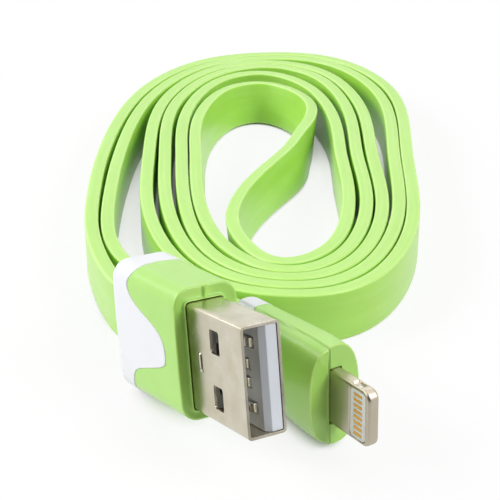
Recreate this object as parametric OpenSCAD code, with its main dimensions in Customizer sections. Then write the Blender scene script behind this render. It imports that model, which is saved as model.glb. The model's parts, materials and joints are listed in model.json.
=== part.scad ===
// Flat charging cable with a wide four contact plug and a small eight contact plug.
// The ribbon stands on its edge, wound as a double spiral from its middle.
// Millimetres. X right, Y away from the front, Z up, the ribbon stands on Z = 0.

/* [Ribbon] */
// Height of the flat ribbon as it stands on its edge
ribbon_h = 7.0; // [5:0.1:9]
// Thickness of the flat ribbon
ribbon_t = 1.55; // [1.2:0.05:2.4]
// Chamfer along the four long edges of the ribbon
ribbon_edge = 0.35; // [0.1:0.05:0.6]
// Rings of the swept ribbon between two route points
ribbon_rings = 2; // [2:1:6]

/* [Wide plug shell] */
// Width of the metal shell
shell_w = 12.0; // [11.8:0.1:12.2]
// Height of the metal shell
shell_h = 4.5; // [4.4:0.1:4.6]
// Sheet thickness of the shell
shell_sheet = 0.3; // [0.2:0.05:0.4]
// Corner radius of the shell
shell_corner = 0.45; // [0.4:0.05:1]
// Free length of the shell in front of the moulding
shell_free = 12.1; // [11:0.1:13]
// Length of the shell hidden in the moulding
shell_hidden = 7.0; // [4:0.5:9]
// Distance from the mouth to the latch windows
window_start = 4.95; // [4:0.05:6]
// Length of a latch window along the plug
window_l = 2.0; // [1.5:0.1:2.5]
// Width of a latch window
window_w = 2.6; // [1.8:0.1:2.8]
// Distance of a window's centre from the middle line
window_at = 3.05; // [2.8:0.05:3.6]
// Corner radius of a latch window
window_corner = 0.3; // [0.1:0.05:0.5]

/* [Wide plug insides] */
// Thickness of the insulator tongue
tongue_t = 1.85; // [1.7:0.05:1.9]
// How far the insulator stands back from the mouth
tongue_back = 0.12; // [0.1:0.02:1.5]
// Chamfer along the open front edge of the insulator
tongue_edge = 0.6; // [0.2:0.1:1]
// Where the insulator becomes a full block
block_start = 9.8; // [9:0.1:11]
// Running clearance around parts that slide into a shell
slip = 0.05; // [0.02:0.01:0.1]
// Width of a spring contact
contact_w = 1.0; // [0.8:0.1:1.2]
// Thickness of a spring contact
contact_t = 0.25; // [0.15:0.05:0.3]
// Distance of an inner contact from the middle line
contact_inner = 1.0; // [0.9:0.1:1.1]
// Distance of an outer contact from the middle line
contact_outer = 3.5; // [3.4:0.1:3.6]
// Where the outer contacts begin, behind the mouth
contact_outer_start = 1.9; // [1.5:0.1:2.5]
// Where the inner contacts begin, behind the mouth
contact_inner_start = 2.9; // [2.5:0.1:3.5]
// Room beside, below and before each spring contact in its groove
groove_room = 0.15; // [0.05:0.05:0.2]

/* [Wide plug moulding] */
// Width of the moulding across the wide plug
grip_w = 15.2; // [13:0.1:17]
// Thickness of the moulding of the wide plug
grip_t = 8.0; // [7:0.1:9]
// Length of the moulding of the wide plug
grip_l = 16.4; // [12:0.1:22]
// How far the moulding sits off the shell towards the insulator
grip_aside = 0.25; // [0:0.05:0.5]
// How far the moulding sits off the shell across its width
grip_up = 0.3; // [0:0.05:0.5]
// Corner radius of the moulding's section
grip_corner = 2.1; // [1:0.1:3]
// Bevel around the ends of the moulding
grip_bevel = 0.4; // [0.2:0.1:0.8]
// Length of the pale cap at the cord end
cover_cap = 3.2; // [2:0.1:6]
// How deep the pale inlay sinks into a broad side
cover_depth = 0.9; // [0.6:0.1:1.4]
// Gap between the two moulded colours
shot_gap = 0.06; // [0.04:0.01:0.1]
// Wall of the mouldings around the inner mould
mould_wall = 1.4; // [1:0.1:2]

/* [Small plug] */
// Width of the small metal tongue
tab_w = 6.7; // [6.6:0.1:6.8]
// Thickness of the small metal tongue
tab_t = 1.5; // [1.4:0.1:1.6]
// Free length of the small tongue
tab_free = 6.8; // [6.4:0.1:7]
// Length of the tongue hidden in the moulding
tab_hidden = 4.5; // [3:0.5:6]
// Corner radius at the tip of the small tongue
tab_corner = 1.1; // [0.8:0.1:1.5]
// Where the contact window of the tongue begins
insert_start = 0.6; // [0.5:0.1:1]
// Length of the contact window
insert_l = 2.7; // [2.4:0.1:3]
// Width of the contact window
insert_w = 5.9; // [5.6:0.1:6]
// Corner radius of the contact window
insert_corner = 0.6; // [0.4:0.1:0.9]
// Contacts on each side of the small plug
pads = 8; // [8:1:8]
// Distance between neighbouring contacts
pad_pitch = 0.66; // [0.6:0.01:0.7]
// Width of one contact
pad_w = 0.33; // [0.3:0.01:0.45]
// Length of one contact
pad_l = 1.4; // [1.2:0.1:1.6]
// Where the contacts begin behind the tip
pad_start = 1.25; // [1:0.05:1.6]
// Depth of a contact in the insert
pad_t = 0.15; // [0.1:0.05:0.25]
// Radius of the detent in each narrow side
detent_r = 0.6; // [0.4:0.1:0.8]
// Width of the detents, across the thickness of the tongue
detent_w = 0.9; // [0.6:0.1:1.3]
// Distance of the detents from the tip
detent_at = 2.5; // [2:0.1:3]

/* [Small plug moulding] */
// Length of the moulding of the small plug
body_l = 18.4; // [14:0.1:22]
// Width of the moulding behind its rounded front edge
body_w = 12.2; // [11:0.1:14]
// Thickness of the moulding in its middle
body_t = 6.7; // [5:0.1:8]
// Radius of the rounded narrow ends
body_end_r = 3.2; // [2:0.1:3.3]
// Radius of the two slightly rounded broad sides
body_side_r = 18; // [10:0.5:30]
// Size of the cord end, as a share of the full section
body_rear = 0.83; // [0.7:0.01:1]
// Size of the front face, as a share of the full section
body_front = 0.95; // [0.85:0.01:1]
// Length over which the front edge rounds off
body_nose = 1.4; // [0.5:0.1:3]
// Where the two halves of the moulding meet, off the middle
seam_at = 0.75; // [0:0.05:1]
// How far one half stands out past the other at the narrow ends
seam_step = 0.3; // [0.1:0.05:0.5]
// Length of the pale cap on the small plug
cap_l = 4.4; // [3:0.1:8]

/* [Wires] */
// Diameter of one bare conductor
core_d = 0.5; // [0.3:0.05:0.6]
// Diameter of one insulated conductor
wire_d = 1.0; // [0.8:0.1:1.2]
// Distance between neighbouring conductors in the ribbon
wire_pitch = 1.45; // [1.2:0.05:1.6]
// Length of the ribbon's end inside a moulding
jacket_in = 3.8; // [2:0.1:3.9]

/* [Shown part] */
// Part to draw, or all of them

/* [Hidden] */
$fn = 48;
thin = 0.01;
past = 1;

// How the layout's own axes are moved to put the middle of the part on X = 0, Y = 0
layout = [-1.1, -179.37, 0];

// Wide plug: middle of its mouth, turn, rise of the nose and lean
host_tip = [1.4, 118.7, 14.0];
host_turn = 30;
host_rise = 13.6;
host_lean = 3;
host_back = shell_free + grip_l;

// Small plug: middle of its tip, turn, rise of the nose and lean
device_tip = [13.0, 122.0, 7.0];
device_turn = 32.8;
device_rise = 4;
device_lean = 1.4;
device_back = tab_free + body_l;

// Ribbon route: the points a smooth curve runs close to. The winding is stretched twice as
// long in Y as in X, about this middle
coil_mid = [3, 195];
coil_stretch = 2;
step_deg = 30;

// Reach of the first arm from the back, every thirty degrees, anticlockwise from above
reach_a = [
    16.6, 16.9, 14.1, 11.1, 12.6, 17.0, 20.3, 20.4, 16.6, 12.8, 16.1, 20.7,
    21.1, 21.1, 19.6, 15.8, 17.7, 21.4, 21.9, 23.7, 21.5, 18.4, 24.2, 25.3,
    22.7, 24.2, 24.5, 23.0,
];
// Reach of the second arm from the front, every thirty degrees, anticlockwise from above
reach_b = [
    19.1, 18.7, 13.4, 10.5, 12.9, 17.1, 19.4, 19.5, 16.6, 13.3, 14.8, 19.6,
    21.0, 22.1, 19.2, 15.1, 18.9, 22.5, 21.9, 22.7, 21.9, 18.3, 20.8, 23.2,
    22.8, 25.3, 23.8, 20.3, 27.0, 26.6, 23.7, 25.5, 26.8, 25.6,
];
// The free bend through the middle, from the back to the front
bend_xy = [
    [10.2, 219.9], [10.4, 211.4], [8.0, 204.8], [6.4, 198.7],
    [3.4, 192.2], [-0.6, 183.9], [-3.1, 173.3], [-1.5, 165.4],
];
// Free ends: x, y, height of the middle of the ribbon, share of the plug's own tilt
host_way = [
    [-22.4, 183.0, 3.5, 0], [-21.9, 170.5, 3.5, 0], [-19.6, 160.5, 3.9, 0.35], [-17.6, 154.0, 4.7, 0.8],
];
device_way = [
    [-20.0, 183.0, 3.5, 0], [-19.7, 171.0, 3.5, 0], [-17.9, 162.0, 3.6, 0.1], [-14.2, 155.5, 3.9, 0.4],
    [-9.2, 151.4, 4.4, 0.75],
];

// ---------- small tools ----------
function turn_x(v, a) = [v[0], v[1] * cos(a) - v[2] * sin(a), v[1] * sin(a) + v[2] * cos(a)];
function turn_y(v, a) = [v[0] * cos(a) + v[2] * sin(a), v[1], -v[0] * sin(a) + v[2] * cos(a)];
function turn_z(v, a) = [v[0] * cos(a) - v[1] * sin(a), v[0] * sin(a) + v[1] * cos(a), v[2]];
function aim(v, turn, rise, lean) = turn_z(turn_x(turn_y(v, lean), -rise), turn);
function unit(v) = v / norm(v);
function reversed(list) = [for (i = [len(list) - 1:-1:0]) list[i]];

// A plug's own axes: X across its thickness, Y back from its tip, Z across its width
module as_host() {
    translate(layout + host_tip)
        rotate([0, 0, host_turn])
            rotate([-host_rise, 0, 0])
                rotate([0, host_lean, 0])
                    children();
}
module as_device() {
    translate(layout + device_tip)
        rotate([0, 0, device_turn])
            rotate([-device_rise, 0, 0])
                rotate([0, device_lean, 0])
                    children();
}
// Flat shape with round corners, centred
module round_rect(w, h, r) {
    square([w - 2 * r, h], center = true);
    square([w, h - 2 * r], center = true);
    for (x = [-1, 1], y = [-1, 1])
        translate([x * (w / 2 - r), y * (h / 2 - r)])
            circle(r = r);
}
// Bar along Y from one distance behind the tip to another, X thickness and Z width
module bar(from, to, x, z, r) {
    translate([0, to, 0])
        rotate([90, 0, 0])
            linear_extrude(to - from)
                round_rect(x, z, r);
}
module box_y(from, to, x0, x1, z0, z1) {
    translate([x0, from, z0])
        cube([x1 - x0, to - from, z1 - z0]);
}
module rod_y(from, to, d) {
    translate([0, to, 0])
        rotate([90, 0, 0])
            cylinder(d = d, h = to - from);
}
// Flat shape drawn over the broad side, Y back from the tip and Z across, pushed through X
module through_x(x0, x1) {
    translate([x0, 0, 0])
        rotate([90, 0, 90])
            linear_extrude(x1 - x0)
                children();
}

// ---------- ribbon ----------
function coil_points(reach, start) = [
    for (i = [0:len(reach) - 1])
        let (
            a = start + i * step_deg,
            x = coil_mid[0] + reach[i] * cos(a),
            y = coil_mid[1] + coil_stretch * reach[i] * sin(a)
        )
        [x, y, ribbon_h / 2, 0],
];
host_exit = host_tip + aim([0, host_back, 0], host_turn, host_rise, host_lean);
host_dir = aim([0, 1, 0], host_turn, host_rise, host_lean);
host_up = aim([0, 0, 1], host_turn, host_rise, host_lean);
device_exit = device_tip + aim([0, device_back, 0], device_turn, device_rise, device_lean);
device_dir = aim([0, 1, 0], device_turn, device_rise, device_lean);
device_up = aim([0, 0, 1], device_turn, device_rise, device_lean);
function from_exit(p, d, far) = [p[0] + d[0] * far, p[1] + d[1] * far, p[2] + d[2] * far, 1];

arm_a = coil_points(reach_a, 90);
arm_b = coil_points(reach_b, 270);
bend = [for (p = bend_xy) [p[0], p[1], ribbon_h / 2, 0]];
straight = ribbon_h;
device_keys = [
    from_exit(device_exit, device_dir, -straight),
    from_exit(device_exit, device_dir, 0),
    from_exit(device_exit, device_dir, straight),
];
host_keys = reversed([
    from_exit(host_exit, host_dir, -straight),
    from_exit(host_exit, host_dir, 0),
    from_exit(host_exit, host_dir, straight),
]);
keys = concat(device_keys, reversed(device_way), reversed(arm_a), bend, arm_b, host_way, host_keys);
coil_first = len(device_keys) + len(device_way);
coil_last = coil_first + len(arm_a) + len(bend) + len(arm_b) - 1;
route_last = len(keys) - 2;

// A smooth curve that stays close to the route points, one piece for each two of them
function curve(i, t) = (
    keys[i - 1] * pow(1 - t, 3)
    + keys[i] * (3 * t * t * t - 6 * t * t + 4)
    + keys[i + 1] * (1 + 3 * t + 3 * t * t - 3 * t * t * t)
    + keys[i + 2] * t * t * t
) / 6;
function slope(i, t) = (
    keys[i + 1] * (1 + 2 * t - 3 * t * t)
    + keys[i] * (3 * t * t - 4 * t)
    - keys[i - 1] * pow(1 - t, 2)
    + keys[i + 2] * t * t
) / 2;
// Place and direction at a count of route points, such as 12.5
function whole(s) = min(floor(s), route_last - 1);
function place(s) = curve(whole(s), s - whole(s));
function heading(s) = let (v = slope(whole(s), s - whole(s))) unit([v[0], v[1], v[2]]);
function lift(s, b) = unit([0, 0, 1] * (1 - b) + (s > coil_last ? host_up : device_up) * b);

// Section of the ribbon, thickness and height, chamfered along its four edges
half_t = ribbon_t / 2;
half_h = ribbon_h / 2;
section = [
    [half_t - ribbon_edge, -half_h], [half_t, ribbon_edge - half_h],
    [half_t, half_h - ribbon_edge], [half_t - ribbon_edge, half_h],
    [ribbon_edge - half_t, half_h], [-half_t, half_h - ribbon_edge],
    [-half_t, ribbon_edge - half_h], [ribbon_edge - half_t, -half_h],
];
function ring(s) =
    let (
        p = place(s),
        d = heading(s),
        side = unit(cross(d, lift(s, p[3]))),
        up = cross(side, d)
    )
    [for (q = section) [p[0], p[1], p[2]] + layout + side * q[0] + up * q[1]];

module ribbon(from, to, rings) {
    count = (to - from) * rings;
    sides = len(section);
    points = [for (i = [0:count]) each ring(from + i / rings)];
    walls = [
        for (i = [0:count - 1], j = [0:sides - 1])
            let (
                a = i * sides + j,
                b = i * sides + (j + 1) % sides
            )
            each [[a, b, b + sides], [a, b + sides, a + sides]],
    ];
    first_end = [for (j = [1:sides - 2]) [0, j + 1, j]];
    last_end = [for (j = [1:sides - 2]) [count * sides, count * sides + j, count * sides + j + 1]];
    polyhedron(points = points, faces = concat(walls, first_end, last_end), convexity = 12);
}

module cord_coil() {
    color("YellowGreen")
        ribbon(coil_first, coil_last, ribbon_rings);
}
module host_lead() {
    color("YellowGreen")
        ribbon(coil_last, route_last, ribbon_rings);
}
module device_lead() {
    color("YellowGreen")
        ribbon(1, coil_first, ribbon_rings);
}

// Least gap between two passes of the wound ribbon, and the cord's whole length
trace = [
    for (i = [0:(route_last - 1) * ribbon_rings])
        let (p = place(1 + i / ribbon_rings))
            [p[0], p[1], p[2]],
];
function step_to(i) = i + 1 < len(trace) ? norm(trace[i + 1] - trace[i]) : 0;
function lengths(i, sum) = i >= len(trace) ? [] : concat([sum], lengths(i + 1, sum + step_to(i)));
along = lengths(0, 0);
function to_piece(p, a, b) =
    let (
        ab = b - a,
        t = max(0, min(1, ((p - a) * ab) / (ab * ab)))
    )
    norm(p - a - ab * t);
own_reach = 2 * ribbon_h;
passes = [
    for (i = [0:len(trace) - 1], j = [0:len(trace) - 2])
        if (abs(along[i] - along[j]) > own_reach && abs(along[i] - along[j + 1]) > own_reach)
            to_piece(trace[i], trace[j], trace[j + 1]),
];
echo(least_gap_of_the_ribbon_to_itself = min(passes) - ribbon_t);
echo(cord_length = along[len(along) - 1]);

// ---------- wide plug ----------
inner_w = shell_w - 2 * shell_sheet;
inner_h = shell_h - 2 * shell_sheet;
shell_end = shell_free + shell_hidden;
block_w = inner_w - 2 * slip;
block_h = inner_h - 2 * slip;
tongue_face = block_h / 2 - tongue_t;
stamp_at = 9.75;
stamp_up = 0.15;
stamp_w = 0.35;
stamp_l = 2.1;
stamp_foot = 0.9;

module window_flat() {
    for (z = [-1, 1])
        translate([window_start + window_l / 2, z * window_at])
            round_rect(window_l, window_w, window_corner);
}
module host_shell() {
    color("Silver")
        as_host()
            difference() {
                bar(0, shell_end, shell_h, shell_w, shell_corner);
                bar(-past, shell_end + past, inner_h, inner_w, shell_corner - shell_sheet);
                through_x(-shell_h, shell_h)
                    window_flat();
                // a hooked slit stamped in one broad side
                through_x(-shell_h, -inner_h / 2 + shell_sheet / 2) {
                    translate([stamp_at, stamp_up])
                        square([stamp_w, stamp_l], center = true);
                    translate([stamp_at - stamp_foot / 2 + stamp_w / 2, stamp_up - stamp_l / 2 + stamp_w / 2])
                        square([stamp_foot, stamp_w], center = true);
                }
            }
}
tail_end = shell_end + 1.4;
block_end = shell_end - 0.4;

// The groove or the strip of one contact, grown by a clearance
module contact_form(z, start, grow) {
    box_y(start - grow, tail_end, tongue_face - grow, tongue_face + contact_t + grow,
        z - contact_w / 2 - grow, z + contact_w / 2 + grow);
}
module host_insulator() {
    color("WhiteSmoke")
        as_host()
            difference() {
                bar(tongue_back, block_end, block_h, block_w, shell_corner - shell_sheet);
                // the room above the tongue for the socket's own tongue, with a sloped way in
                translate([0, 0, -shell_w / 2])
                    linear_extrude(shell_w)
                        polygon([
                            [-shell_h, 0], [tongue_face + tongue_edge, 0],
                            [tongue_face + tongue_edge, tongue_back],
                            [tongue_face, tongue_back + tongue_edge], [tongue_face, block_start],
                            [-shell_h, block_start],
                        ]);
                for (z = [-1, 1]) {
                    contact_form(z * contact_outer, contact_outer_start, groove_room);
                    contact_form(z * contact_inner, contact_inner_start, groove_room);
                }
            }
}
bump_r = 0.8;
bump_rise = 0.45;
bump_at = 0.9;
// One spring contact: a strip with a rounded bump near its tip
module spring_contact(z, start) {
    as_host() {
        contact_form(z, start, 0);
        intersection() {
            box_y(start, start + 2 * bump_at, tongue_face - bump_rise, tongue_face + thin,
                z - contact_w / 2, z + contact_w / 2);
            translate([tongue_face - bump_rise + bump_r, start + bump_at, z])
                cylinder(r = bump_r, h = contact_w, center = true);
        }
    }
}
module host_contact_power() {
    color("Gainsboro")
        spring_contact(contact_outer, contact_outer_start);
}
module host_contact_data_minus() {
    color("Gainsboro")
        spring_contact(contact_inner, contact_inner_start);
}
module host_contact_data_plus() {
    color("Gainsboro")
        spring_contact(-contact_inner, contact_inner_start);
}
module host_contact_ground() {
    color("Gainsboro")
        spring_contact(-contact_outer, contact_outer_start);
}

// Conductors run from the contact tails to the ribbon's end, a little closer together there
wires = [-1.5, -0.5, 0.5, 1.5];
strip_l = 1.2;
solder_l = 0.8;
solder_h = 0.5;
solder_w = 0.9;
host_solder_from = shell_end + 0.5;
host_solder_to = host_solder_from + solder_l;
host_solder_x = tongue_face + contact_t;
host_jacket_from = host_back - jacket_in;
host_wire_x = host_solder_x + solder_h / 2;
function host_tail_z(i) = [-contact_outer, -contact_inner, contact_inner, contact_outer][i];

// A rod from one point to another
module rod(p, q, d) {
    v = q - p;
    translate(p)
        rotate([0, acos(v[2] / norm(v)), atan2(v[1], v[0])])
            cylinder(d = d, h = norm(v));
}
module host_wire(i, share, d) {
    p = [host_wire_x, host_solder_to + slip, host_tail_z(i) * 0.9];
    q = [0, host_jacket_from - slip, wires[i] * wire_pitch];
    rod(p + (q - p) * share, q, d);
}
module host_solder() {
    color("LightGray")
        as_host()
            for (i = [0:3])
                box_y(host_solder_from, host_solder_to, host_solder_x, host_solder_x + solder_h,
                    host_tail_z(i) - solder_w / 2, host_tail_z(i) + solder_w / 2);
}
bare_share = 0.25;
module host_wire_copper() {
    color("Peru")
        as_host()
            for (i = [0:3])
                host_wire(i, 0, core_d);
}
module host_wire_insulation() {
    color("Tomato")
        as_host()
            for (i = [0:3])
                difference() {
                    host_wire(i, bare_share, wire_d);
                    host_wire(i, 0, core_d + 2 * slip);
                }
}
mould_gap = 0.1;
host_mould_from = shell_end + slip;
host_mould_to = host_jacket_from - mould_gap;
host_mould_t = grip_t - 2 * (mould_wall + grip_aside);
host_mould_w = grip_w - 2 * (mould_wall + grip_up);
mould_corner = 0.8;
module host_inner_mould() {
    color("Beige")
        as_host()
            difference() {
                bar(host_mould_from, host_mould_to, host_mould_t, host_mould_w, mould_corner);
                for (i = [0:3]) {
                    host_wire(i, 0, wire_d + 2 * slip);
                    box_y(shell_end - past, host_solder_to + slip,
                        host_solder_x - slip, host_solder_x + solder_h + slip,
                        host_tail_z(i) - solder_w / 2 - slip, host_tail_z(i) + solder_w / 2 + slip);
                }
                for (z = [-contact_outer, -contact_inner, contact_inner, contact_outer])
                    contact_form(z, contact_outer_start, slip);
            }
}
// The end of the ribbon inside a moulding
module jacket_end(from, to, clear) {
    x = ribbon_t + 2 * clear;
    z = ribbon_h + 2 * clear;
    c = ribbon_edge;
    translate([0, to, 0])
        rotate([90, 0, 0])
            linear_extrude(to - from)
                polygon([
                    [x / 2 - c, -z / 2], [x / 2, c - z / 2], [x / 2, z / 2 - c], [x / 2 - c, z / 2],
                    [c - x / 2, z / 2], [-x / 2, z / 2 - c], [-x / 2, c - z / 2], [c - x / 2, -z / 2],
                ]);
}
module host_jacket_end() {
    color("YellowGreen")
        as_host()
            jacket_end(host_jacket_from, host_back, 0);
}
collar_l = 0.4;
collar_t = 0.5;
ridge_t = 0.4;
ridge_l = 0.2;
ridge_w = 0.7;
grip_start = shell_free;
// The whole moulding of the wide plug, both colours, before its insides are cut out
module host_form() {
    translate([grip_aside, 0, grip_up]) {
        bar(grip_start + grip_bevel, host_back - grip_bevel, grip_t, grip_w, grip_corner);
        bar(grip_start, host_back,
            grip_t - 2 * grip_bevel, grip_w - 2 * grip_bevel, grip_corner - grip_bevel);
    }
}
// Outline of the pale inlay on a broad side, back from the mouth and across
inlay_outline = [
    [25.8, 6.6], [24.4, 6.4], [23.7, 5.7], [23.4, 4.9], [22.0, 4.2], [20.7, 3.7], [18.2, 3.0],
    [15.9, 2.2], [15.2, 1.4], [15.0, 0.3], [15.2, -1.7], [18.9, -2.7], [23.5, -3.9],
    [24.3, -4.9], [24.0, -6.0], [25.8, -6.3],
];
module cover_region(grow) {
    cap_from = host_back - cover_cap - grow;
    box_y(cap_from, host_back + past, -grip_t, grip_t, -grip_w, grip_w);
    translate([grip_aside, 0, grip_up])
        for (side = [0, 1])
            mirror([side, 0, 0])
                through_x(grip_t / 2 - cover_depth - grow, grip_t)
                    polygon(inlay_outline);
}
module host_hollow(grow) {
    bar(grip_start - past, shell_end + grow, shell_h + 2 * grow, shell_w + 2 * grow, shell_corner);
    bar(shell_end, host_mould_to + grow, host_mould_t + 2 * grow, host_mould_w + 2 * grow, mould_corner);
    jacket_end(host_mould_to, host_back + past, grow);
}
module host_overmould() {
    color("GreenYellow")
        as_host()
            difference() {
                union() {
                    host_form();
                    bar(grip_start - collar_l, grip_start + grip_bevel,
                        shell_h + 2 * collar_t, shell_w + 2 * collar_t, shell_corner + collar_t);
                    // a short ridge from the collar out to each narrow side
                    for (z = [-1, 1])
                        translate([0, 0, grip_up / 2 + z * (grip_w / 2 - ridge_w)])
                            box_y(grip_start - ridge_l, grip_start + grip_bevel,
                                -ridge_t / 2, ridge_t / 2, -ridge_w / 2, ridge_w / 2);
                }
                host_hollow(slip);
                cover_region(shot_gap);
            }
}
module host_cover() {
    color("White")
        as_host()
            difference() {
                intersection() {
                    host_form();
                    cover_region(0);
                }
                host_hollow(slip);
            }
}

// ---------- small plug ----------
tab_end = tab_free + tab_hidden;
tab_flange_w = 8.0;
tab_flange_t = 2.2;
tab_flange_from = tab_free + 1;
tab_flange_l = 1.2;
insert_t = tab_t - 0.1;
module device_tongue() {
    color("DarkGray")
        as_device()
            difference() {
                union() {
                    through_x(-tab_t / 2, tab_t / 2)
                        translate([tab_end / 2, 0])
                            round_rect(tab_end, tab_w, tab_corner);
                    box_y(tab_flange_from, tab_flange_from + tab_flange_l,
                        -tab_flange_t / 2, tab_flange_t / 2, -tab_flange_w / 2, tab_flange_w / 2);
                }
                through_x(-past, past)
                    translate([insert_start + insert_l / 2, 0])
                        round_rect(insert_l, insert_w, insert_corner);
                for (z = [-1, 1])
                    translate([-detent_w / 2, detent_at, z * (tab_w / 2 + detent_r / 2)])
                        rotate([0, 90, 0])
                            cylinder(r = detent_r, h = detent_w);
            }
}
// The row of contacts on one broad side
module pad_row(side, grow) {
    for (i = [0:pads - 1])
        let (
            z = (i - (pads - 1) / 2) * pad_pitch,
            x = side * (insert_t / 2 - pad_t / 2)
        )
        box_y(pad_start - grow, pad_start + pad_l + grow, x - pad_t / 2 - grow, x + pad_t / 2 + grow,
            z - pad_w / 2 - grow, z + pad_w / 2 + grow);
}
pad_slip = 0.02;
module device_insert() {
    color("White")
        as_device()
            difference() {
                through_x(-insert_t / 2, insert_t / 2)
                    translate([insert_start + insert_l / 2, 0])
                        round_rect(insert_l - 2 * slip, insert_w - 2 * slip, insert_corner - slip);
                for (side = [-1, 1])
                    pad_row(side, pad_slip);
            }
}
module device_contacts_front() {
    color("Gold")
        as_device()
            pad_row(-1, 0);
}
module device_contacts_back() {
    color("Gold")
        as_device()
            pad_row(1, 0);
}
board_t = 0.8;
board_w = 5.6;
board_from = tab_end + 0.1;
device_jacket_from = device_back - jacket_in;
// The board takes this share of the room between the tongue and the cord
board_share = 0.6;
board_l = board_share * (device_jacket_from - board_from);
board_to = board_from + board_l;
chip_t = 0.6;
chip_w = 2.8;
chip_l = 2.6;
chip_at = 1;
// Places of the small passive parts on the board, back and across, and their sizes
passive_at = [[1.2, -1.8], [1.2, 0.4], [1.2, 1.9], [3.4, -0.8]];
passive_l = 1.0;
passive_w = 0.6;
passive_h = 0.45;
module device_board() {
    color("DarkGreen")
        as_device()
            box_y(board_from, board_to, -board_t / 2, board_t / 2, -board_w / 2, board_w / 2);
}
module device_chip() {
    color("DimGray")
        as_device()
            box_y(board_from + chip_at, board_from + chip_at + chip_l, -board_t / 2 - chip_t, -board_t / 2,
                -chip_w / 2, chip_w / 2);
}
module device_passives() {
    color("Tan")
        as_device()
            for (p = passive_at)
                box_y(board_from + p[0], board_from + p[0] + passive_l, board_t / 2, board_t / 2 + passive_h,
                    p[1] - passive_w / 2, p[1] + passive_w / 2);
}
device_solder_l = 1;
device_solder_from = board_to - device_solder_l;
device_solder_x = -board_t / 2;
module device_solder() {
    color("LightGray")
        as_device()
            for (w = wires)
                box_y(device_solder_from, board_to, device_solder_x - solder_h, device_solder_x,
                    w * wire_pitch - solder_w / 2, w * wire_pitch + solder_w / 2);
}
module device_wire(w, share, d) {
    p = [device_solder_x - solder_h / 2, board_to + slip, w * wire_pitch];
    q = [0, device_jacket_from - slip, w * wire_pitch];
    rod(p + (q - p) * share, q, d);
}
module device_wire_copper() {
    color("Peru")
        as_device()
            for (w = wires)
                device_wire(w, 0, core_d);
}
module device_wire_insulation() {
    color("Tomato")
        as_device()
            for (w = wires)
                difference() {
                    device_wire(w, bare_share, wire_d);
                    device_wire(w, 0, core_d + 2 * slip);
                }
}
can_sheet = 0.15;
can_t = 3.2;
can_w = 6.6;
can_corner = 0.4;
can_from = tab_end + slip;
can_to = board_to + can_corner;
module device_shield_can() {
    color("Silver")
        as_device()
            difference() {
                bar(can_from, can_to, can_t, can_w, can_corner);
                bar(can_from - past, can_to + past,
                    can_t - 2 * can_sheet, can_w - 2 * can_sheet, can_corner - can_sheet);
            }
}
device_mould_from = can_to + slip;
device_mould_to = device_jacket_from - mould_gap;
device_mould_t = 3.6;
device_mould_w = 7.6;
module device_inner_mould() {
    color("Beige")
        as_device()
            difference() {
                bar(device_mould_from, device_mould_to, device_mould_t, device_mould_w, mould_corner);
                for (w = wires)
                    device_wire(w, 0, wire_d + 2 * slip);
            }
}
module device_jacket_end() {
    color("YellowGreen")
        as_device()
            jacket_end(device_jacket_from, device_back, 0);
}
// Section of the small moulding: round narrow ends between two slightly rounded broad sides
module body_section(w) {
    intersection() {
        round_rect(body_t, w, body_end_r);
        crown(-1);
        crown(1);
    }
}
module crown(side) {
    translate([side * (body_side_r - body_t / 2), 0])
        circle(r = body_side_r);
}
// The moulding narrows from behind its front edge towards the cord, and rounds off to the front
module body(w) {
    translate([0, tab_free + body_nose, 0]) {
        rotate([90, 0, 0])
            linear_extrude(body_nose, scale = body_front)
                body_section(w);
        rotate([-90, 0, 0])
            linear_extrude(body_l - body_nose, scale = body_rear)
                body_section(w);
    }
}
// Two halves meet beside the middle, one standing out past the other at the narrow ends
module device_form() {
    body(body_w - 2 * seam_step);
    intersection() {
        body(body_w);
        box_y(tab_free - past, device_back + past, -seam_at, body_t, -body_w, body_w);
    }
}
module device_cap_region(grow) {
    box_y(device_back - cap_l - grow, device_back + past, -body_t, body_t, -body_w, body_w);
}
module device_hollow(grow) {
    bar(tab_free - past, tab_end + grow, tab_t + 2 * grow, tab_w + 2 * grow, grow);
    box_y(tab_flange_from - grow, tab_flange_from + tab_flange_l + grow,
        -tab_flange_t / 2 - grow, tab_flange_t / 2 + grow, -tab_flange_w / 2 - grow, tab_flange_w / 2 + grow);
    bar(can_from - grow, can_to + grow, can_t + 2 * grow, can_w + 2 * grow, can_corner);
    bar(can_to, device_mould_to + grow, device_mould_t + 2 * grow, device_mould_w + 2 * grow, mould_corner);
    jacket_end(device_mould_to, device_back + past, grow);
}
module device_overmould() {
    color("GreenYellow")
        as_device()
            difference() {
                device_form();
                device_hollow(slip);
                device_cap_region(shot_gap);
            }
}
module device_cover() {
    color("White")
        as_device()
            difference() {
                intersection() {
                    device_form();
                    device_cap_region(0);
                }
                device_hollow(slip);
            }
}

cord_coil();
host_lead();
device_lead();
host_shell();
host_insulator();
host_contact_power();
host_contact_data_minus();
host_contact_data_plus();
host_contact_ground();
host_solder();
host_wire_copper();
host_wire_insulation();
host_inner_mould();
host_jacket_end();
host_overmould();
host_cover();
device_tongue();
device_insert();
device_contacts_front();
device_contacts_back();
device_board();
device_chip();
device_passives();
device_solder();
device_wire_copper();
device_wire_insulation();
device_shield_can();
device_inner_mould();
device_jacket_end();
device_overmould();
device_cover();
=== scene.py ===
import json
import math

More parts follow.
